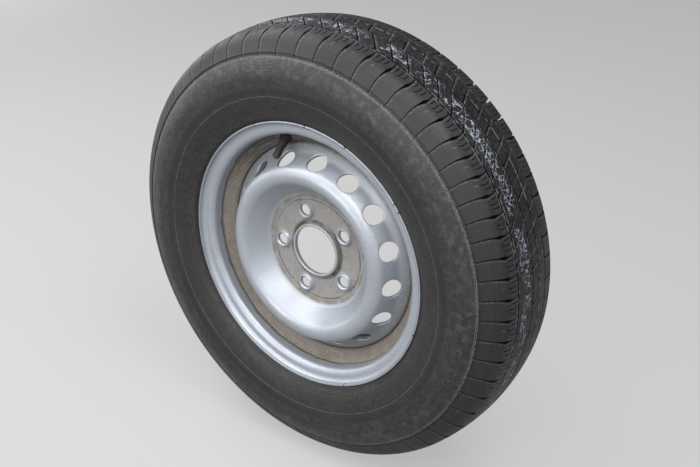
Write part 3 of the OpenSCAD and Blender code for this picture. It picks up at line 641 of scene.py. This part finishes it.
def shoulder_rows(y_from, width, ends):
    """Rows from the groove at y_from > 0 out over a shoulder to the groove beside the ridge, with
    a close pair at each of the ends, and how far each row is along the shoulder's round."""
    rows = [row + [0.0] for row in groove_rows(y_from, width, 1)]
    ends = [y_from + v + w for v in ends for w in (-0.05, 0.05)]
    for y in sorted(list(np.linspace(y_from + width / 2, EDGE_Y, 5)[1:]) + [y for y in ends if y < EDGE_Y]):
        rows.append(tread_row(y) + [0.0])
    bends = [math.degrees(math.asin((y - SHOULDER_Y) / SHOULDER_ROUND)) for y in ends if y > EDGE_Y]
    for a in sorted(list(np.linspace(EDGE_ANGLE, SHOULDER_END, 9)[1:]) + bends):
        n = heading(a)
        p = SHOULDER_AT + SHOULDER_ROUND * n
        rows.append([p[0], p[1], n[0], n[1], 0.0, 8 * (a - EDGE_ANGLE) / (SHOULDER_END - EDGE_ANGLE) - 1])
    n = heading(SHOULDER_END + 6)
    for i, (dr, dy) in enumerate(((4.4, -1.4), (3.4, -2.2), (1.6, -1.6), (1.0, -0.2))):
        rows.append([RIDGE[0] + dr, RIDGE[1] + dy, n[0], n[1], 0.0, 8.0 + i])
    return np.array(rows)


def slot_turn(i, n):
    """Angle of slot i of n in degrees. Their pitch varies a little, as it does to quieten a tyre."""
    return 360 * i / n + PITCH_SWAY * np.sin(np.radians(3 * 360 * i / n))


def strip(surface, rows, centres, halves, depths, flip, part, columns, cuts=()):
    """Tread between two grooves. centres, halves and depths hold a slot's angle, half width in
    degrees and depth for [row, slot]; the columns follow the slots, so that their edges are crisp.
    columns are places across a block, and cuts its sipes: [place per row, half width, depth per row]."""
    n = centres.shape[1]
    right = centres + halves
    next_left = np.roll(centres - halves, -1, axis=1)
    next_left[:, -1] += 360
    r, y, nr, ny, groove = rows.T[:5]
    steps = [(np.full(len(r), f), groove) for f in columns]
    for place, half, low in cuts:
        low = np.maximum(groove, low)
        steps += [(place - half, groove), (place - half + 0.001, low),
                  (place + half - 0.001, low), (place + half, groove)]
    angle, depth, own = [], [], []
    for f, low in sorted(steps, key=lambda step: step[0][0]):
        f = np.repeat(f[:, None], n, 1)
        angle.append(right * (1 - f) + next_left * f)
        depth.append(np.repeat(low[:, None], n, 1))
        own.append(f)
    next_depth = np.roll(depths, -1, axis=1)
    next_right = np.roll(right, -1, axis=1)
    next_right[:, -1] += 360
    angle += [next_left, next_right]
    sunk = np.maximum(groove[:, None], next_depth)
    depth += [sunk, sunk]
    own += [np.ones((len(r), n)), np.zeros((len(r), n))]
    shape = (len(r), -1)
    a = np.radians(np.stack(angle, -1).reshape(shape))
    d = np.stack(depth, -1).reshape(shape)
    f = np.stack(own, -1).reshape(shape)
    rr = r[:, None] - d * nr[:, None]
    p = np.stack([rr * np.sin(a), y[:, None] - d * ny[:, None], rr * np.cos(a)], -1)
    lay = np.stack([f, d, np.full_like(d, part)], -1)
    surface.grid(p, flip=flip, lay=lay)


def shoulder(surface, y_from, width, side, lead, part):
    """A shoulder on side -1 or 1, from the groove at y_from outwards: slots that sway by one wave
    and widen in their middle, and on the near side three hooked sipes in each block."""
    sipes = SIPES if side < 0 else ()
    rows = shoulder_rows(y_from, width, (SIPE_START,) + tuple(end for _, end in sipes) if sipes else ())
    y = rows[:, 1].copy()
    f = np.clip((y - y_from) / (RIDGE[1] + 1 - y_from), 0, 1)
    x = SLOT_SWAY * np.sin(np.radians(SLOT_WAVE * f))
    half = SLOT_W / 2 * np.interp(f, SLOT_PLACES, NEAR_SLOT_WIDTHS if side < 0 else FAR_SLOT_WIDTHS)
    turn = slot_turn(np.arange(SLOTS), SLOTS) + lead
    r = rows[:, 0]
    depth = np.interp(rows[:, 5], [0, 5, 7, 8, 9, 10, 11], [SLOT_H, 5.9, 4.2, 3.1, 1.4, 0.6, 0.0])
    centres = turn[None, :] + np.degrees(x / r)[:, None]
    halves = np.repeat(np.degrees(half / r)[:, None], SLOTS, 1)
    depths = np.repeat(depth[:, None], SLOTS, 1)
    rows = rows.copy()
    rows[:, 1] *= side
    rows[:, 3] *= side
    out = y - y_from
    cuts = [(place - SIPE_HOOK * np.clip((out - end) / SIPE_HOOK_RUN + 1, 0, 1) * (out < end), SIPE_HALF,
             np.where((out > SIPE_START) & (out < end), SIPE_H, 0.0)) for place, end in sipes]
    columns = (0.0, 0.325, 0.575, 1.0) if sipes else (0.0, 0.5, 1.0)
    strip(surface, rows, centres, halves, depths, side > 0, part, columns, cuts)


def rib_strip(surface, ys, slots, slant, part):
    """Tread between two grooves with straight slanted slots: ys are rows from +Y to -Y."""
    rows = np.array(ys)
    r, y = rows[:, 0], rows[:, 1]
    turn = np.array([s[0] for s in slots])
    mid = np.array([(s[1] + s[2]) / 2 for s in slots])
    low, high = np.array([s[1] for s in slots]), np.array([s[2] for s in slots])
    x = -(y[:, None] - mid[None, :]) * math.tan(math.radians(slant))
    centres = turn[None, :] + np.degrees(x / r[:, None])
    half = RIB_SLOT_W / 2 / math.cos(math.radians(slant))
    halves = np.degrees(half / r)[:, None] + 0 * centres
    cut = (y[:, None] > low - 0.01) & (y[:, None] < high + 0.01)
    depths = np.where(cut, RIB_SLOT_H, 0.0)
    strip(surface, rows, centres, halves, depths, False, part, (0, 0.33, 0.67, 1))


def between(y_from, y_to, steps):
    """Plain rows strictly between two places."""
    return [tread_row(y) for y in np.linspace(y_from, y_to, steps + 1)[1:-1]]


def side_arc(a, b, steps):
    """Arc from a to b that leaves a square to the axle."""
    a, b = np.array(a, float), np.array(b, float)
    d = b - a
    r = (d @ d) / (2 * abs(d[1]))
    way = np.sign(d[1])
    centre = a + [0, way * r]
    t = np.arange(steps + 1) / steps * math.atan2(abs(d[0]), r - abs(d[1]))
    return centre + np.stack([np.sign(d[0]) * r * np.sin(t), -way * r * np.cos(t)], -1)


def tyre_surface():
    """Both shoulders, the ribs between them, and a section carried round for all the rest. The own
    values are the place across a block, the depth below the tread, and the part of the tread."""
    s = Surface()
    a_y, b_y, c_y, d_y = GROOVES
    shoulder(s, -a_y, GROOVE_W, -1, 0.0, 1)
    shoulder(s, d_y, WIDE_GROOVE_W, 1, 1.1, 4)
    g = GROOVE_W
    # Wide rib
    end = b_y - 2
    rows = (groove_rows(b_y, g, -1) + [tread_row(end + END_RUN), tread_row(end)]
            + between(end, a_y + g / 2, 8) + groove_rows(a_y, g, 1)[::-1])
    slots = [(slot_turn(i, RIB_SLOTS), a_y, end) for i in range(RIB_SLOTS)]
    rib_strip(s, rows, slots, WIDE_SLANT, 2)
    # Middle rib and the rib beside it
    long_end, short_start, short_end = c_y + 5, c_y - 3, c_y + 6
    ends = (short_end + END_RUN, short_end, long_end + END_RUN, long_end)
    rows = (groove_rows(d_y, WIDE_GROOVE_W, -1) + between(d_y - WIDE_GROOVE_W / 2, short_end, 5)
            + [tread_row(y) for y in ends] + between(long_end, c_y + g / 2, 3)
            + groove_rows(c_y, g, 1)[::-1] + groove_rows(c_y, g, -1)[1:]
            + [tread_row(short_start), tread_row(short_start - END_RUN)]
            + between(short_start, b_y + g / 2, 6) + groove_rows(b_y, g, 1)[::-1])
    half = RIB_SLOTS // 2
    slots = []
    for i in range(half):
        slots.append((slot_turn(i, half), b_y, long_end))
        slots.append((slot_turn(i + 0.5, half), short_start, short_end))
    rib_strip(s, rows, slots, MIDDLE_SLANT, 3)
    # Sidewalls, beads and the inside, from the ridge down and round
    foot = (FLANGE_R + 2.2, LIP_Y + 0.3)
    flange = np.array([FLANGE_R - FLANGE_ROUND, FLANGE_Y + FLANGE_ROUND])
    k = np.arange(9) / 8
    lip = flange + (FLANGE_ROUND + 0.1 + 0.8 * (1 - k))[:, None] * heading(-90 * k)
    heel = np.array([BEAD_R + 0.1, FLANGE_Y - 0.1])
    heel_arc = heel + [HEEL_ROUND, -HEEL_ROUND] + HEEL_ROUND * heading(90 + 90 * k)
    toe = np.array([seat_r(TOE_Y) + 0.1, TOE_Y])
    inner_wide = (WIDE[0], WIDE[1] - SIDE_T)
    inner_shoulder = SHOULDER_AT + (SHOULDER_ROUND - TREAD_T) * heading(50.0)
    half_line = np.concatenate([
        [[RIDGE[0] + 1.0, RIDGE[1] - 0.2], [RIDGE[0] + 0.5, RIDGE[1] + 0.02], [RIDGE[0], RIDGE[1]]],
        side_arc(WIDE, RIDGE, 12)[-2::-1],
        side_arc(WIDE, foot, 22)[1:], lip, heel_arc, [toe, toe + [1.8, -0.8]],
        side_arc(inner_wide, toe + [22, 8.5], 10)[::-1],
        side_arc(inner_wide, inner_shoulder, 8)[1:],
        SHOULDER_AT + TREAD_T * heading(np.linspace(50, EDGE_ANGLE, 5))[1:],
        [[TREAD_CENTRE, 0] + (TREAD_CURVE - TREAD_T) * v for v in heading(np.array([8.0, 4.0, 0.0]))]])
    s.grid(around(half_line * [1, -1], SIDE_COLUMNS))
    s.grid(around(half_line, SIDE_COLUMNS), flip=True)
    return s


def tyre_rubber():
    """Moulded tyre rubber, black with carbon and faded to charcoal. It has a dull sheen, and shows fine
    moulded rings, sipes, scuffs and dust, with painted glints on the tread and painted shade in its slots,
    grooves, sipes and block edges and at the sidewall's foot."""
    m = Paint("tyre_rubber", Specular_IOR_Level=0.38)
    block, depth, part = m.own()
    cloud, grain, fine = m.noise(0.02, 5.0), m.noise(0.5, 5.0), m.noise(1.4, 4.0)
    lines = m.streaks(0.7, m.noise(0.01, 2.0))
    away = m.calc("ABSOLUTE", m.y)
    on_tread, on_top = m.span(part, 0.4, 0.6), m.span(depth, 0.8, 0.3)
    near = m.band(part, 1.0, 0.1, 0.1)
    far = m.band(part, 4.0, 0.1, 0.1)
    is_shoulder = m.most(near, far)
    is_rib = m.band(part, 2.5, 0.6, 0.1)
    # Colour of the sidewall, with long scuffs round it, and of the tread, with painted glints on its top and
    # near the blocks' edges and painted shade right at those edges
    side = m.mix(m.span(cloud, 0.35, 0.7), colour("0D0D0E"), colour("171618"))
    side = m.mix(m.span(lines, 0.5, 0.8, 0.0, 0.35), side, colour("3E3C3A"))
    side = m.mix(m.span(m.noise(0.16, 6.0), 0.42, 0.68, 0.0, 0.55), side, colour("302E2F"))
    side = m.mix(m.span(fine, 0.56, 0.7, 0.0, 0.45), side, colour("545250"))
    tread_wear_glints_and_shade = m.mix(m.span(grain, 0.35, 0.65), colour("0B0B0C"), colour("202023"))
    tread_wear_glints_and_shade = m.mix(m.times(is_shoulder, 0.75), tread_wear_glints_and_shade, colour("0A0A0B"))
    tread_wear_glints_and_shade = m.mix(m.times(is_shoulder, m.span(away, 52.0, 46.0), 0.5), tread_wear_glints_and_shade, colour("2A292C"))
    # Pale specks on the tread's top: painted glints
    tread_wear_glints_and_shade = m.mix(m.times(m.span(fine, 0.58, 0.7), on_top, 0.4), tread_wear_glints_and_shade, colour("6E6D72"))
    tread_wear_glints_and_shade = m.mix(m.times(is_shoulder, m.span(away, 53.0, 60.0), 0.5), tread_wear_glints_and_shade, colour("1A191B"))
    tread_wear_glints_and_shade = m.mix(m.times(is_rib, m.span(m.noise(0.2, 3.0), 0.5, 0.6), 0.7), tread_wear_glints_and_shade, colour("070708"))
    # Pale line near each block's edge: painted glints
    block_edge_glint = m.times(m.band(block, 0.075, 0.02, 0.02), on_top, m.span(grain, 0.42, 0.58))
    tread_wear_glints_and_shade = m.mix(m.times(block_edge_glint, m.blend(is_rib, 0.22, 0.5)), tread_wear_glints_and_shade, colour("7C7C81"))
    # Near black right at the blocks' edges: painted shade where they drop into the slots
    edges = m.calc("ADD", m.span(block, 0.045, 0.02), m.span(block, 0.965, 0.985))
    tread_wear_glints_and_shade = m.mix(m.times(edges, on_top, m.blend(is_rib, 0.4, 0.9)), tread_wear_glints_and_shade, colour("040404"))
    # Darker rubber inside the sidewall's widest part
    darker_inner_side = m.most(m.times(m.span(m.r, 229.0, 227.0), 0.5), m.times(m.band(m.r, 223.0, 2.5, 3.0), 0.85))
    darker_inner_side = m.times(darker_inner_side, m.span(m.noise(0.03, 3.0), 0.35, 0.6, 0.6, 1.0))
    side = m.mix(darker_inner_side, side, colour("090909"))
    base = m.mix(on_tread, side, tread_wear_glints_and_shade)
    # Rings on the sidewall: a fine ribbed zone by the ridge, thin lines, a dusty foot, and painted shadow
    # where the foot meets the rim's lip
    below = m.times(m.span(m.r, 268.0, 262.0), m.span(away, 60.0, 66.0))
    ribbed = m.times(m.band(m.r, 255.5, 5.5, 1.0), below)
    wave = m.calc("SINE", m.times(m.r, 2 * math.pi / RIBBING))
    base = m.mix(m.times(ribbed, m.span(wave, -0.2, 0.8), 0.12), base, colour("4A4846"))
    ring = m.most(m.band(m.r, 215.5, 0.25, 0.4), m.band(m.r, 262.3, 0.3, 0.4))
    base = m.mix(m.times(ring, below, m.span(grain, 0.3, 0.6), 0.4), base, colour("6E6A65"))
    foot = m.times(m.span(m.r, 201.0, 184.0), m.span(lines, 0.42, 0.7), m.span(fine, 0.35, 0.65))
    base = m.mix(m.times(foot, below, 0.6), base, colour("5E5852"))
    # Near black band at the foot: painted shadow where the tyre meets the rim's lip
    base = m.mix(m.times(m.span(m.r, 187.5, 185.5), below, 0.85), base, colour("040404"))
    pips = m.times(m.specks(17.0, 1.3), below)
    base = m.mix(m.times(pips, 0.5), base, colour("77726C"))
    # Sipes of the far shoulder and the ribs, drawn as thin dark lines to spare triangles: painted shade of
    # cuts that the mesh leaves out
    out = m.calc("SUBTRACT", away, 36.0)
    lean = m.calc("SUBTRACT", block, m.times(out, 0.003))
    cuts = []
    for place, end in ((0.22, 11.0), (0.47, 15.0), (0.72, 13.0)):
        hook = m.times(m.span(out, end - 2.5, end), 0.07)
        cuts.append(m.times(m.band(m.calc("ADD", lean, hook), place, 0.03, 0.01),
                            m.span(out, end, end - 0.8)))
    cuts = m.times(m.most(*cuts), far, m.span(out, -4.0, -3.0))
    rib_cuts = m.times(m.most(m.band(block, 0.34, 0.02, 0.014), m.band(block, 0.67, 0.02, 0.014)), is_rib)
    sipe = m.times(m.most(cuts, rib_cuts), on_top)
    # Two thin lines round both shoulders, and a short pale rib in the near one's blocks
    rails = m.times(m.most(m.band(away, 61.6, 0.15, 0.2), m.band(away, 65.0, 0.15, 0.2)),
                    is_shoulder, on_top)
    dark = m.most(sipe, m.times(rails, 0.8))
    base = m.mix(dark, base, colour("020202"))
    dash = m.times(m.band(lean, 0.36, 0.012, 0.014), m.band(away, 57.0, 1.6, 1.0), near)
    base = m.mix(m.times(dash, m.span(cloud, 0.4, 0.6), 0.5), base, colour("6A6866"))
    # Pale scuffs along the edges of the grooves, and broken pale strokes on the wide rib
    lips = [m.band(m.y, y, half, 0.4) for y, half in (
        (-37.6, 0.35), (-34.4, 0.2), (11.9, 0.3), (26.0, 0.25), (-8.0, 0.2))]
    scuffed = m.times(m.most(*lips), on_top, on_tread, m.span(m.noise(0.12, 5.0), 0.45, 0.6))
    base = m.mix(m.times(scuffed, 0.6), base, colour("86847F"))
    loops = m.most(m.band(m.noise(0.09, 1.0), 0.5, 0.010, 0.012),
                   m.band(m.noise(0.13, 1.0), 0.47, 0.012, 0.014))
    stroke = m.times(loops, m.band(m.y, -20.5, 7.5, 1.5))
    broken = m.times(m.span(m.noise(0.04, 2.0), 0.4, 0.5), m.span(fine, 0.38, 0.54))
    base = m.mix(m.times(stroke, broken, is_rib, on_top, 0.8), base, colour("A3AABA"))
    # Painted shade in the slots and grooves, darker the deeper it lies; the ridge is rubbed tan
    base = m.mix(m.times(m.span(depth, 0.3, 2.4, 0.0, 0.85), on_tread), base, colour("060607"))
    ridge_scuff = m.times(m.band(m.r, RIDGE[0] + 0.2, 0.3, 0.6), m.span(away, 72.0, 73.6),
                          m.span(grain, 0.4, 0.58))
    base = m.mix(m.times(ridge_scuff, 0.5), base, colour("7C7468"))
    dusty = m.times(m.band(m.r, 254.0, 7.0, 9.0), below, m.span(m.noise(0.09, 6.0), 0.48, 0.66),
                    m.span(fine, 0.44, 0.6))
    base = m.mix(m.times(dusty, 0.4), base, colour("66615B"))
    m.set("Base Color", base)
    dull = m.blend(m.span(cloud, 0.3, 0.7), 0.44, 0.58)
    m.set("Roughness", m.calc("ADD", dull, m.times(on_tread, 0.08)))
    # Relief
    steps = m.calc("ADD", m.band(m.r, 247.5, 0.35, 0.3), m.band(m.r, 215.5, 0.35, 0.3))
    m.bump(m.times(below, m.calc("ADD", m.times(wave, ribbed, 0.5), steps)), 0.3)
    m.bump(m.calc("ADD", m.times(grain, 0.5), fine), 0.12)
    return m.mat


tyre_obj = tyre_surface().build("tyre_shell", tyre_rubber(), 32)
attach(tyre_obj, "wheel")
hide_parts("tyre")


# Welds, valve and cap
# The CAD's own solids show here: eight short welds, the snap-in valve's rubber body and brass stem,
# the brass, rubber and spring steel of its core, and the black moulded cap.

def weld_dust(m, cloud):
    """Patchy brown dust over the whole weld."""
    return m.span(cloud, 0.3, 0.7, 0.3, 0.7), 0.8


def plain(name, code, **constants):
    """One colour with a fine grain, for pieces a few millimetres across."""
    m = Paint(name, **constants)
    m.set("Base Color", colour(code))
    m.bump(m.noise(1.5, 3.0), 0.02)
    return m.mat


SMALL = {
    # Lacquer over the bead of weld, dulled by dust
    "painted_steel": steel_paint("silver_paint_weld", weld_dust),
    # Moulded rubber: nearly black, with a broad dull sheen
    "valve_rubber": plain("valve_rubber", "0F0F10", Roughness=0.6),
    # Sealing rubber: a browner black that sets the seals off
    "seal_rubber": plain("seal_rubber", "2A1F1D", Roughness=0.6),
    # Turned brass: warm metal with soft reflections
    "brass": plain("brass", "B99B5A", Metallic=1.0, Roughness=0.35),
    # Drawn spring wire: cool grey metal, a little brighter
    "spring_steel": plain("spring_steel", "9B9C9E", Metallic=1.0, Roughness=0.3),
    # Moulded plastic: dark, with a tighter sheen than the rubber
    "cap_plastic": plain("cap_plastic", "1A191A", Roughness=0.45),
    "tyre_rubber": tyre_obj.data.materials[0],
}
for part in frame["record"]["subparts"]:
    mesh = frame["nodes"][part["node"]].data
    mesh.materials.clear()
    mesh.materials.append(SMALL[part["material_slot"]])


# Floor, light and camera
# Not part of the object. Soft boxes stand round the wheel, each with its turn and rise in degrees,
# distance in metres and power in watts, and the camera stands where the photographer stood.

LIGHTS = ((-110, 8, 3.8, 31.0), (-75, 8, 2.2, 8.0), (-45, 9, 2.2, 5.0), (-12, 10, 2.2, 16.0),
          (20, 10, 2.2, 5.0), (45, 8, 2.2, 3.5), (74, 16, 2.2, 8.0), (-102, 40, 2.2, 19.0),
          (-70, 35, 2.2, 4.0), (-45, 35, 2.2, 12.5), (-15, 35, 2.2, 6.5), (15, 35, 2.2, 9.0),
          (45, 35, 2.2, 11.0), (74, 58, 2.2, 27.0), (-75, 62, 2.2, 11.0), (-40, 62, 2.2, 12.0),
          (0, 62, 2.2, 4.5), (40, 62, 2.2, 14.0))
BOX_W, BOX_H = 0.46, 0.4  # size of a soft box for each metre of its distance
FLOOR_SIZE, FLOOR_GLOW, WORLD_LIGHT = 60, 0.42, 0.066


def area(name, turn, rise, distance, power):
    """Soft box turned from the wheel's front towards +X and raised, both in degrees."""
    light = bpy.data.lights.new(name, "AREA")
    light.shape, light.energy = "RECTANGLE", power
    light.size, light.size_y = BOX_W * distance, BOX_H * distance
    a, b = math.radians(turn), math.radians(rise)
    obj = bpy.data.objects.new(name, light)
    obj.location = distance * Vector((math.sin(a) * math.cos(b), -math.cos(a) * math.cos(b), math.sin(b)))
    obj.rotation_euler = obj.location.to_track_quat("Z", "Y").to_euler()
    bpy.context.scene.collection.objects.link(obj)


def stage():
    """A plain pale floor, a dim even world and the soft boxes. The floor is dark to the lamps and glows
    to the camera and in reflections, so that it looks pale and still shows the shadow."""
    bpy.ops.mesh.primitive_plane_add(size=FLOOR_SIZE, location=(0, 0, -TYRE_R * MM - 0.0002))
    floor = bpy.context.object
    floor.name = "floor"
    m = Paint("pale_floor", Roughness=0.9)
    m.set("Base Color", colour("606060"))
    m.set("Emission Color", colour("FFFFFF"))
    path = m.add("ShaderNodeLightPath")
    seen = m.calc("ADD", m.calc("ADD", path.outputs["Is Camera Ray"], path.outputs["Is Glossy Ray"]),
                  path.outputs["Is Transmission Ray"])
    m.set("Emission Strength", m.times(m.calc("MINIMUM", seen, 1.0), FLOOR_GLOW))
    floor.data.materials.append(m.mat)
    world = bpy.data.worlds.new("pale_world")
    world.use_nodes = True
    background = world.node_tree.nodes["Background"]
    background.inputs[0].default_value = colour("FFFFFF")
    background.inputs[1].default_value = WORLD_LIGHT
    bpy.context.scene.world = world
    for turn, rise, distance, power in LIGHTS:
        area("soft_box_%d_%d" % (turn % 360, rise), turn, rise, distance, power)
    bpy.context.scene.view_settings.view_transform = "Standard"


def camera():
    """Camera fitted to the photograph: the wheel's centre lands left of and below the middle."""
    az, el, dist = math.radians(37.4556), math.radians(26.1120), 1288.87
    focal, width, middle, centre = 964.605, 700, (350, 233.5), (332.553, 240.555)
    back = Vector((math.sin(az) * math.cos(el), -math.cos(az) * math.cos(el), math.sin(el)))
    right = Vector((math.cos(az), math.sin(az), 0))
    up = back.cross(right)
    looking = Matrix((right, up, back)).transposed()
    shift = Vector(((centre[0] - middle[0]) / focal, -(centre[1] - middle[1]) / focal, -1))
    turn = Vector((0, 0, -1)).rotation_difference(shift.normalized()).to_matrix()
    data = bpy.data.cameras.new("camera")
    data.sensor_width = 36
    data.lens = focal / width * 36
    obj = bpy.data.objects.new("camera", data)
    obj.matrix_world = Matrix.Translation(back * dist * MM) @ (looking @ turn.inverted()).to_4x4()
    bpy.context.scene.collection.objects.link(obj)
    bpy.context.scene.camera = obj


stage()
camera()
